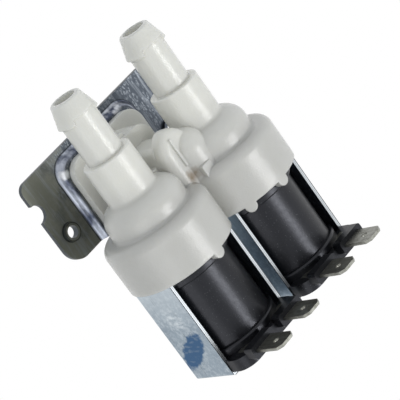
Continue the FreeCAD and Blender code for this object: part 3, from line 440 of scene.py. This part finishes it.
ink_share = add_node(tree, "ShaderNodeMath", {"operation": "MULTIPLY"},
                     {0: (ink_spot, "Result"), 1: (ink_break, "Result")})
inked = add_node(tree, "ShaderNodeMix", {"data_type": "RGBA", 7: linear(INK)},
                 {0: (ink_share, "Value"), 6: (rubbed, 2)})
surface = add_node(tree, "ShaderNodeNewGeometry")
facing = add_node(tree, "ShaderNodeSeparateXYZ", {}, {0: (surface, "Normal")})
front_face = add_node(tree, "ShaderNodeMath", {"operation": "LESS_THAN", 1: -0.9}, {0: (facing, "Y")})
sideways = add_node(tree, "ShaderNodeMath", {"operation": "ABSOLUTE"}, {0: (parts, "X")})
from_axis = add_node(tree, "ShaderNodeMath", {"operation": "SUBTRACT", 1: YOKE_MIDDLE},
                     {0: (sideways, "Value")})
from_middle = add_node(tree, "ShaderNodeMath", {"operation": "ABSOLUTE"}, {0: (from_axis, "Value")})
in_leg = add_node(tree, "ShaderNodeMath", {"operation": "SUBTRACT", 0: YOKE_OUTSIDE},
                  {1: (from_middle, "Value")})
above_low = add_node(tree, "ShaderNodeMath", {"operation": "SUBTRACT", 1: yoke_low[2]}, {0: (parts, "Z")})
into_strip = add_node(tree, "ShaderNodeMath", {"operation": "MINIMUM"},
                      {0: (in_leg, "Value"), 1: (above_low, "Value")})
across = add_node(tree, "ShaderNodeMapRange", {"From Max": YOKE_SHEET}, {"Value": (into_strip, "Value")})
# Painted shade: dark lines along both borders of the cut front edges.
edge_ramp = add_node(tree, "ShaderNodeValToRGB", {}, {0: (across, "Result")})
stops = edge_ramp.color_ramp.elements
stops[0].position = 0.12
stops[0].color = linear(EDGE_SHADOW)
stops[1].position = 0.93
stops[1].color = linear(EDGE_SHADOW)
for position in (0.22, 0.46, 0.62, 0.84):
    stops.new(position).color = linear(CUT_EDGE)
stops.new(0.54).color = linear(TORN_LINE)
edge_tone = add_node(tree, "ShaderNodeMix", {"data_type": "RGBA"},
                     {0: (front_face, "Value"), 6: (inked, 2), 7: (edge_ramp, "Color")})
plate_rough = add_node(tree, "ShaderNodeMapRange", {"To Min": 0.22, "To Max": 0.42},
                       {"Value": (scuffs, "Fac")})
plate_bump = add_node(tree, "ShaderNodeBump", {"Strength": 0.06, "Distance": BUMP_DEPTH},
                      {"Height": (drawn, "Fac")})
tree.links.new(edge_tone.outputs[2], shader.inputs["Base Color"])
tree.links.new(plate_rough.outputs["Result"], shader.inputs["Roughness"])
tree.links.new(plate_bump.outputs["Normal"], shader.inputs["Normal"])
shader.inputs["Metallic"].default_value = 1.0
dress(both("yoke", "pole_plate", "upper_sleeve", "lower_sleeve"), plated)

# Coils. Each winding on its bobbin is moulded over in black glass-filled nylon, which is smooth and satin
# with dust on it. The two collars at the foot are part of the same moulding.
COIL_BLACK = "#101114"
DUST = "#8b9093"
COIL_SHEEN = "#f0f3ff"
FLOW_SCALE = 1.0 * PER_MILLIMETRE
GRIT_SCALE = 3.0 * PER_MILLIMETRE
coil_black, tree, shader, place = new_finish("black_overmoulded_nylon")
flow = add_node(tree, "ShaderNodeTexNoise", {"Scale": FLOW_SCALE, "Detail": 6.0, "Roughness": 0.7},
                {"Vector": (place, "Object")})
grit = add_node(tree, "ShaderNodeTexNoise", {"Scale": GRIT_SCALE, "Detail": 2.0},
                {"Vector": (place, "Object")})
dust_share = add_node(tree, "ShaderNodeMapRange", {"From Min": 0.66, "From Max": 0.78, "To Max": 0.4},
                      {"Value": (grit, "Fac")})
base = add_node(tree, "ShaderNodeMix", {"data_type": "RGBA", 6: linear(COIL_BLACK), 7: linear(DUST)},
                {0: (dust_share, "Result")})
moulding_rough = add_node(tree, "ShaderNodeMapRange",
                          {"From Min": 0.3, "From Max": 0.7, "To Min": 0.27, "To Max": 0.38},
                          {"Value": (flow, "Fac")})
moulding_bump = add_node(tree, "ShaderNodeBump", {"Strength": 0.12, "Distance": BUMP_DEPTH},
                         {"Height": (flow, "Fac")})
tree.links.new(base.outputs[2], shader.inputs["Base Color"])
tree.links.new(moulding_rough.outputs["Result"], shader.inputs["Roughness"])
tree.links.new(moulding_bump.outputs["Normal"], shader.inputs["Normal"])
shader.inputs["IOR"].default_value = 1.5
shader.inputs["Specular IOR Level"].default_value = 0.38
shader.inputs["Specular Tint"].default_value = linear(COIL_SHEEN)
dress(both("coil_housing", "bobbin"), coil_black)

# Windings. Several thousand turns of enamelled copper wire, hidden in the moulding. The wire runs round the
# axis, so its lines lie level.
COPPER = "#b8703c"
COPPER_DARK = "#7d4322"
TURN_SCALE = 1.0 * PER_MILLIMETRE
copper, tree, shader, place = new_finish("enamelled_copper_wire")
turns = add_node(tree, "ShaderNodeTexWave",
                 {"bands_direction": "Z", "Scale": TURN_SCALE, "Distortion": 0.4},
                 {"Vector": (place, "Object")})
copper_tone = add_node(tree, "ShaderNodeMix",
                       {"data_type": "RGBA", 6: linear(COPPER_DARK), 7: linear(COPPER)},
                       {0: (turns, "Fac")})
turn_bump = add_node(tree, "ShaderNodeBump", {"Strength": 0.5, "Distance": BUMP_DEPTH},
                     {"Height": (turns, "Fac")})
tree.links.new(copper_tone.outputs[2], shader.inputs["Base Color"])
tree.links.new(turn_bump.outputs["Normal"], shader.inputs["Normal"])
shader.inputs["Metallic"].default_value = 1.0
shader.inputs["Roughness"].default_value = 0.32
dress(both("winding"), copper)

# Blades. Stamped from 0.8 mm brass strip and tin plated, then pushed into the bobbin before moulding. The
# tin is dull grey, darker than the yokes, with fine lines along the blade.
TIN = "#94958f"
TIN_DARK = "#76766f"
BLOTCH_SCALE = 0.8 * PER_MILLIMETRE
ROLLED_SCALE = 2.0 * PER_MILLIMETRE
tin, tree, shader, place = new_finish("dull_tin_plated_brass")
blotch = add_node(tree, "ShaderNodeTexNoise", {"Scale": BLOTCH_SCALE, "Detail": 5.0},
                  {"Vector": (place, "Object")})
rolled_place = add_node(tree, "ShaderNodeMapping", {"Scale": (1.0, 0.05, 1.0)},
                        {"Vector": (place, "Object")})
rolled = add_node(tree, "ShaderNodeTexNoise", {"Scale": ROLLED_SCALE, "Detail": 3.0},
                  {"Vector": (rolled_place, "Vector")})
tin_share = add_node(tree, "ShaderNodeMath", {"operation": "MULTIPLY"},
                     {0: (blotch, "Fac"), 1: (rolled, "Fac")})
tin_spread = add_node(tree, "ShaderNodeMapRange", {"From Min": 0.15, "From Max": 0.35},
                      {"Value": (tin_share, "Value")})
tin_tone = add_node(tree, "ShaderNodeMix", {"data_type": "RGBA", 6: linear(TIN), 7: linear(TIN_DARK)},
                    {0: (tin_spread, "Result")})
tin_rough = add_node(tree, "ShaderNodeMapRange", {"To Min": 0.32, "To Max": 0.5},
                     {"Value": (blotch, "Fac")})
tree.links.new(tin_tone.outputs[2], shader.inputs["Base Color"])
tree.links.new(tin_rough.outputs["Result"], shader.inputs["Roughness"])
shader.inputs["Metallic"].default_value = 1.0
dress(["terminal_" + side + number for side in ("left_", "right_") for number in ("1", "2")], tin)

# Guide tubes and pilot inserts. Smooth off-white engineering plastic, moulded to a fine finish because the
# plungers slide and seal on it.
MILKY = "#d9d9d2"
MILKY_SHADE = "#c9c9c1"
MILK_SCALE = 0.3 * PER_MILLIMETRE
FINE_GLOW_DEPTH = 0.0015
fine, tree, shader, place = new_finish("fine_moulded_plastic")
milk = add_node(tree, "ShaderNodeTexNoise", {"Scale": MILK_SCALE, "Detail": 3.0},
                {"Vector": (place, "Object")})
fine_tone = add_node(tree, "ShaderNodeMix",
                     {"data_type": "RGBA", 6: linear(MILKY), 7: linear(MILKY_SHADE)}, {0: (milk, "Fac")})
fine_rough = add_node(tree, "ShaderNodeMapRange", {"To Min": 0.30, "To Max": 0.42},
                      {"Value": (milk, "Fac")})
tree.links.new(fine_tone.outputs[2], shader.inputs["Base Color"])
tree.links.new(fine_rough.outputs["Result"], shader.inputs["Roughness"])
shader.inputs["Subsurface Weight"].default_value = 0.2
shader.inputs["Subsurface Scale"].default_value = FINE_GLOW_DEPTH
dress(both("guide_tube", "pilot_insert"), fine)

# Plungers. Turned and ground magnetic steel, with fine grinding lines round them.
GROUND_DARK = "#8f9192"
GROUND_BRIGHT = "#b2b4b5"
GRINDING_SCALE = 3.0 * PER_MILLIMETRE
ground, tree, shader, place = new_finish("ground_magnetic_steel")
grinding_place = add_node(tree, "ShaderNodeMapping", {"Scale": (0.08, 0.08, 1.0)},
                          {"Vector": (place, "Object")})
grinding = add_node(tree, "ShaderNodeTexNoise", {"Scale": GRINDING_SCALE, "Detail": 3.0},
                    {"Vector": (grinding_place, "Vector")})
ground_tone = add_node(tree, "ShaderNodeMix",
                       {"data_type": "RGBA", 6: linear(GROUND_DARK), 7: linear(GROUND_BRIGHT)},
                       {0: (grinding, "Fac")})
ground_bump = add_node(tree, "ShaderNodeBump", {"Strength": 0.15, "Distance": BUMP_DEPTH / 2.0},
                       {"Height": (grinding, "Fac")})
tree.links.new(ground_tone.outputs[2], shader.inputs["Base Color"])
tree.links.new(ground_bump.outputs["Normal"], shader.inputs["Normal"])
shader.inputs["Metallic"].default_value = 1.0
shader.inputs["Roughness"].default_value = 0.24
dress(both("plunger"), ground)

# Push nuts. Thin strip of spring steel, with dark heat tints.
HEAT_TINT = "#6f7479"
BRIGHT_STEEL = "#a4a8ac"
TINT_SCALE = 0.6 * PER_MILLIMETRE
sprung, tree, shader, place = new_finish("bright_spring_steel")
tint = add_node(tree, "ShaderNodeTexNoise", {"Scale": TINT_SCALE, "Detail": 4.0},
                {"Vector": (place, "Object")})
sprung_tone = add_node(tree, "ShaderNodeMix",
                       {"data_type": "RGBA", 6: linear(HEAT_TINT), 7: linear(BRIGHT_STEEL)},
                       {0: (tint, "Fac")})
sprung_rough = add_node(tree, "ShaderNodeMapRange", {"To Min": 0.22, "To Max": 0.38},
                        {"Value": (tint, "Fac")})
tree.links.new(sprung_tone.outputs[2], shader.inputs["Base Color"])
tree.links.new(sprung_rough.outputs["Result"], shader.inputs["Roughness"])
shader.inputs["Metallic"].default_value = 1.0
dress(both("plunger_spring", "push_nut"), sprung)

# Return springs. Seven turns of drawn round wire in the bore of each plunger, standing on the closed end of
# the guide tube. In the valve they shorten by the stroke as the coil lifts the plunger; here each is built
# to the height of the CAD spring it replaces, which is hidden.
SPRING_MIDDLE = 0.0022
WIRE = 0.00025
SPRING_TURNS = 7.0
SPRING_STEPS = 196
WIRE_SIDES = 10


def spring_points(middle, low, high):
    """Points round a helix of radius R: (R cos t, R sin t, rising with t), plus a circle round the wire."""
    t = np.linspace(0.0, 2.0 * math.pi * SPRING_TURNS, SPRING_STEPS)[:, None]
    u = np.linspace(0.0, 2.0 * math.pi, WIRE_SIDES, endpoint=False)[None, :]
    radius = SPRING_MIDDLE + WIRE * np.cos(u)
    rise = low + WIRE + (high - low - 2.0 * WIRE) * t / (2.0 * math.pi * SPRING_TURNS)
    points = [middle[0] + radius * np.cos(t), middle[1] + radius * np.sin(t), rise + WIRE * np.sin(u)]
    return np.stack(points, axis=-1).reshape(-1, 3)


wire_faces = closed_grid_faces(SPRING_STEPS, WIRE_SIDES, False)
wire_faces.append(tuple(reversed(range(WIRE_SIDES))))
wire_faces.append(tuple(range((SPRING_STEPS - 1) * WIRE_SIDES, SPRING_STEPS * WIRE_SIDES)))
for side in ("left", "right"):
    low_corner, high_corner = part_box("plunger_spring_" + side)
    middle = ((low_corner[0] + high_corner[0]) / 2.0, (low_corner[1] + high_corner[1]) / 2.0)
    spring_mesh = bpy.data.meshes.new("return_spring_" + side)
    spring_mesh.from_pydata(spring_points(middle, low_corner[2], high_corner[2]).tolist(), [], wire_faces)
    spring_mesh.polygons.foreach_set("use_smooth", [True] * len(wire_faces))
    spring_mesh.materials.append(sprung)
    spring = bpy.data.objects.new("return_spring_" + side, spring_mesh)
    bpy.context.scene.collection.objects.link(spring)
    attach(spring, "valve")
    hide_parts("plunger_spring_" + side)
    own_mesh(spring)

# Rubber parts. The diaphragms, the plunger tips and the flow ring are black moulded rubber with a dull
# bloom.
RUBBER_BLACK = "#1a1a1b"
BLOOM_GREY = "#2c2c2d"
BLOOM_SCALE = 0.5 * PER_MILLIMETRE
rubber, tree, shader, place = new_finish("black_moulded_rubber")
bloom = add_node(tree, "ShaderNodeTexNoise", {"Scale": BLOOM_SCALE, "Detail": 5.0},
                 {"Vector": (place, "Object")})
rubber_tone = add_node(tree, "ShaderNodeMix",
                       {"data_type": "RGBA", 6: linear(RUBBER_BLACK), 7: linear(BLOOM_GREY)},
                       {0: (bloom, "Fac")})
rubber_rough = add_node(tree, "ShaderNodeMapRange", {"To Min": 0.55, "To Max": 0.75},
                        {"Value": (bloom, "Fac")})
tree.links.new(rubber_tone.outputs[2], shader.inputs["Base Color"])
tree.links.new(rubber_rough.outputs["Result"], shader.inputs["Roughness"])
dress(both("diaphragm", "plunger_seal") + ["flow_ring"], rubber)

# Diaphragms. The same two mouldings, each copied into an object of its own with its place baked in, while
# its CAD node is hidden. In the valve the bead stays clamped under the bonnet while the web and its conical
# wall bend down with the pilot insert.
for side in ("left", "right"):
    low_corner, high_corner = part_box("diaphragm_" + side)
    soft = bpy.data.objects.new("bending_diaphragm_" + side, solids["diaphragm_" + side].data.copy())
    bpy.context.scene.collection.objects.link(soft)
    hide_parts("diaphragm_" + side)
    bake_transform(soft)

# Inlet strainer. A moulded basket in off-white plastic, pushed into the inlet, a little yellowed by water.
SIEVE_WHITE = "#d6d6cd"
YELLOWED = "#c0bdae"
LIME_SCALE = 0.4 * PER_MILLIMETRE
SIEVE_GLOW_DEPTH = 0.0012
sieve, tree, shader, place = new_finish("moulded_strainer_plastic")
lime = add_node(tree, "ShaderNodeTexNoise", {"Scale": LIME_SCALE, "Detail": 5.0},
                {"Vector": (place, "Object")})
sieve_tone = add_node(tree, "ShaderNodeMix",
                      {"data_type": "RGBA", 6: linear(SIEVE_WHITE), 7: linear(YELLOWED)},
                      {0: (lime, "Fac")})
sieve_rough = add_node(tree, "ShaderNodeMapRange", {"To Min": 0.36, "To Max": 0.52},
                       {"Value": (lime, "Fac")})
tree.links.new(sieve_tone.outputs[2], shader.inputs["Base Color"])
tree.links.new(sieve_rough.outputs["Result"], shader.inputs["Roughness"])
shader.inputs["Subsurface Weight"].default_value = 0.2
shader.inputs["Subsurface Scale"].default_value = SIEVE_GLOW_DEPTH
dress(["inlet_strainer"], sieve)

# Flow regulator. A pale blue moulded disc behind the strainer that seats the rubber ring.
PALE_BLUE = "#7ea0b8"
BLUE_SHADE = "#6688a0"
SWIRLS_SCALE = 0.35 * PER_MILLIMETRE
disc, tree, shader, place = new_finish("moulded_regulator_plastic")
swirls = add_node(tree, "ShaderNodeTexNoise", {"Scale": SWIRLS_SCALE, "Detail": 4.0},
                  {"Vector": (place, "Object")})
disc_tone = add_node(tree, "ShaderNodeMix",
                     {"data_type": "RGBA", 6: linear(PALE_BLUE), 7: linear(BLUE_SHADE)},
                     {0: (swirls, "Fac")})
disc_rough = add_node(tree, "ShaderNodeMapRange", {"To Min": 0.34, "To Max": 0.48},
                      {"Value": (swirls, "Fac")})
tree.links.new(disc_tone.outputs[2], shader.inputs["Base Color"])
tree.links.new(disc_rough.outputs["Result"], shader.inputs["Roughness"])
dress(["flow_regulator"], disc)

# Floor, background, lamps and camera. The object hangs in front of plain white.
FLOOR_REACH = 6.0
FLOOR_HEIGHT = -0.80
PAPER_WHITE = "#f2f2f0"
DAYLIGHT = "#e8ecf0"
DAYLIGHT_STRENGTH = 0.75
VALVE_MIDDLE = Vector((0.0, -0.02, -0.01))
floor_mesh = bpy.data.meshes.new("floor")
floor_corners = [(-FLOOR_REACH, -FLOOR_REACH), (FLOOR_REACH, -FLOOR_REACH), (FLOOR_REACH, FLOOR_REACH),
                 (-FLOOR_REACH, FLOOR_REACH)]
floor_mesh.from_pydata([(x, y, FLOOR_HEIGHT) for x, y in floor_corners], [], [(0, 1, 2, 3)])
floor = bpy.data.objects.new("floor", floor_mesh)
bpy.context.scene.collection.objects.link(floor)
paper = bpy.data.materials.new("white_paper")
paper.use_nodes = True
tree = paper.node_tree
matt = tree.nodes["Principled BSDF"]
matt.inputs["Base Color"].default_value = linear(PAPER_WHITE)
matt.inputs["Roughness"].default_value = 0.9


def seen_rays(tree):
    """1 for camera, glossy and transmission rays, which all see plain white."""
    rays = add_node(tree, "ShaderNodeLightPath")
    glossy = add_node(tree, "ShaderNodeMath", {"operation": "MAXIMUM"},
                      {0: (rays, "Is Glossy Ray"), 1: (rays, "Is Transmission Ray")})
    return add_node(tree, "ShaderNodeMath", {"operation": "MAXIMUM"},
                    {0: (rays, "Is Camera Ray"), 1: (glossy, "Value")})


white = add_node(tree, "ShaderNodeEmission", {"Color": (1, 1, 1, 1), "Strength": 1.0})
pick = add_node(tree, "ShaderNodeMixShader", {},
                {0: (seen_rays(tree), "Value"), 1: (matt, "BSDF"), 2: (white, "Emission")})
tree.links.new(pick.outputs["Shader"], tree.nodes["Material Output"].inputs["Surface"])
floor_mesh.materials.append(paper)

world = bpy.data.worlds.new("studio")
world.use_nodes = True
bpy.context.scene.world = world
tree = world.node_tree
surround = tree.nodes["Background"]
surround.inputs["Color"].default_value = linear(DAYLIGHT)
surround.inputs["Strength"].default_value = DAYLIGHT_STRENGTH
backdrop = add_node(tree, "ShaderNodeBackground", {"Color": (1, 1, 1, 1), "Strength": 1.0})
pick = add_node(tree, "ShaderNodeMixShader", {},
                {0: (seen_rays(tree), "Value"), 1: (surround, "Background"), 2: (backdrop, "Background")})
tree.links.new(pick.outputs["Shader"], tree.nodes["World Output"].inputs["Surface"])


def direction(azimuth, elevation):
    """The unit vector away from the valve. Azimuth 0 is in front, along -Y, and turns towards -X."""
    turn = math.radians(azimuth)
    lift = math.radians(elevation)
    return Vector((-math.sin(turn) * math.cos(lift), -math.cos(turn) * math.cos(lift), math.sin(lift)))


def soft_lamp(name, azimuth, elevation, distance, size, watts):
    """A square area lamp aimed at the valve."""
    towards = direction(azimuth, elevation)
    light = bpy.data.lights.new(name, "AREA")
    light.size = size
    light.energy = watts
    lamp = bpy.data.objects.new(name, light)
    lamp.location = VALVE_MIDDLE + towards * distance
    lamp.rotation_euler = towards.to_track_quat("Z", "Y").to_euler()
    bpy.context.scene.collection.objects.link(lamp)


soft_lamp("key_lamp", azimuth=-12.0, elevation=-18.0, distance=1.0, size=0.32, watts=3.3)
soft_lamp("side_lamp", azimuth=67.0, elevation=-17.0, distance=1.0, size=0.60, watts=1.2)

# The camera looks from the front left and a little above, rolled about its own axis so the spigots lean
# left. Its place, lens and angles were solved from the photo, with the blades at their standard size.
LENS = 199.46
SENSOR = 36.0
CAMERA_PLACE = (-0.29504, -0.45264, 0.15645)
CAMERA_AZIMUTH = 34.535
CAMERA_ELEVATION = 17.812
CAMERA_ROLL = -35.805
camera_data = bpy.data.cameras.new("camera")
camera_data.lens = LENS
camera_data.sensor_width = SENSOR
camera_data.clip_start = 0.05
camera_data.clip_end = 20.0
camera = bpy.data.objects.new("camera", camera_data)
upright = direction(CAMERA_AZIMUTH, CAMERA_ELEVATION).to_track_quat("Z", "Y")
rolled = upright @ Quaternion((0.0, 0.0, 1.0), math.radians(CAMERA_ROLL))
camera.matrix_world = Matrix.Translation(CAMERA_PLACE) @ rolled.to_matrix().to_4x4()
bpy.context.scene.collection.objects.link(camera)
bpy.context.scene.camera = camera
bpy.context.scene.view_settings.view_transform = "Standard"
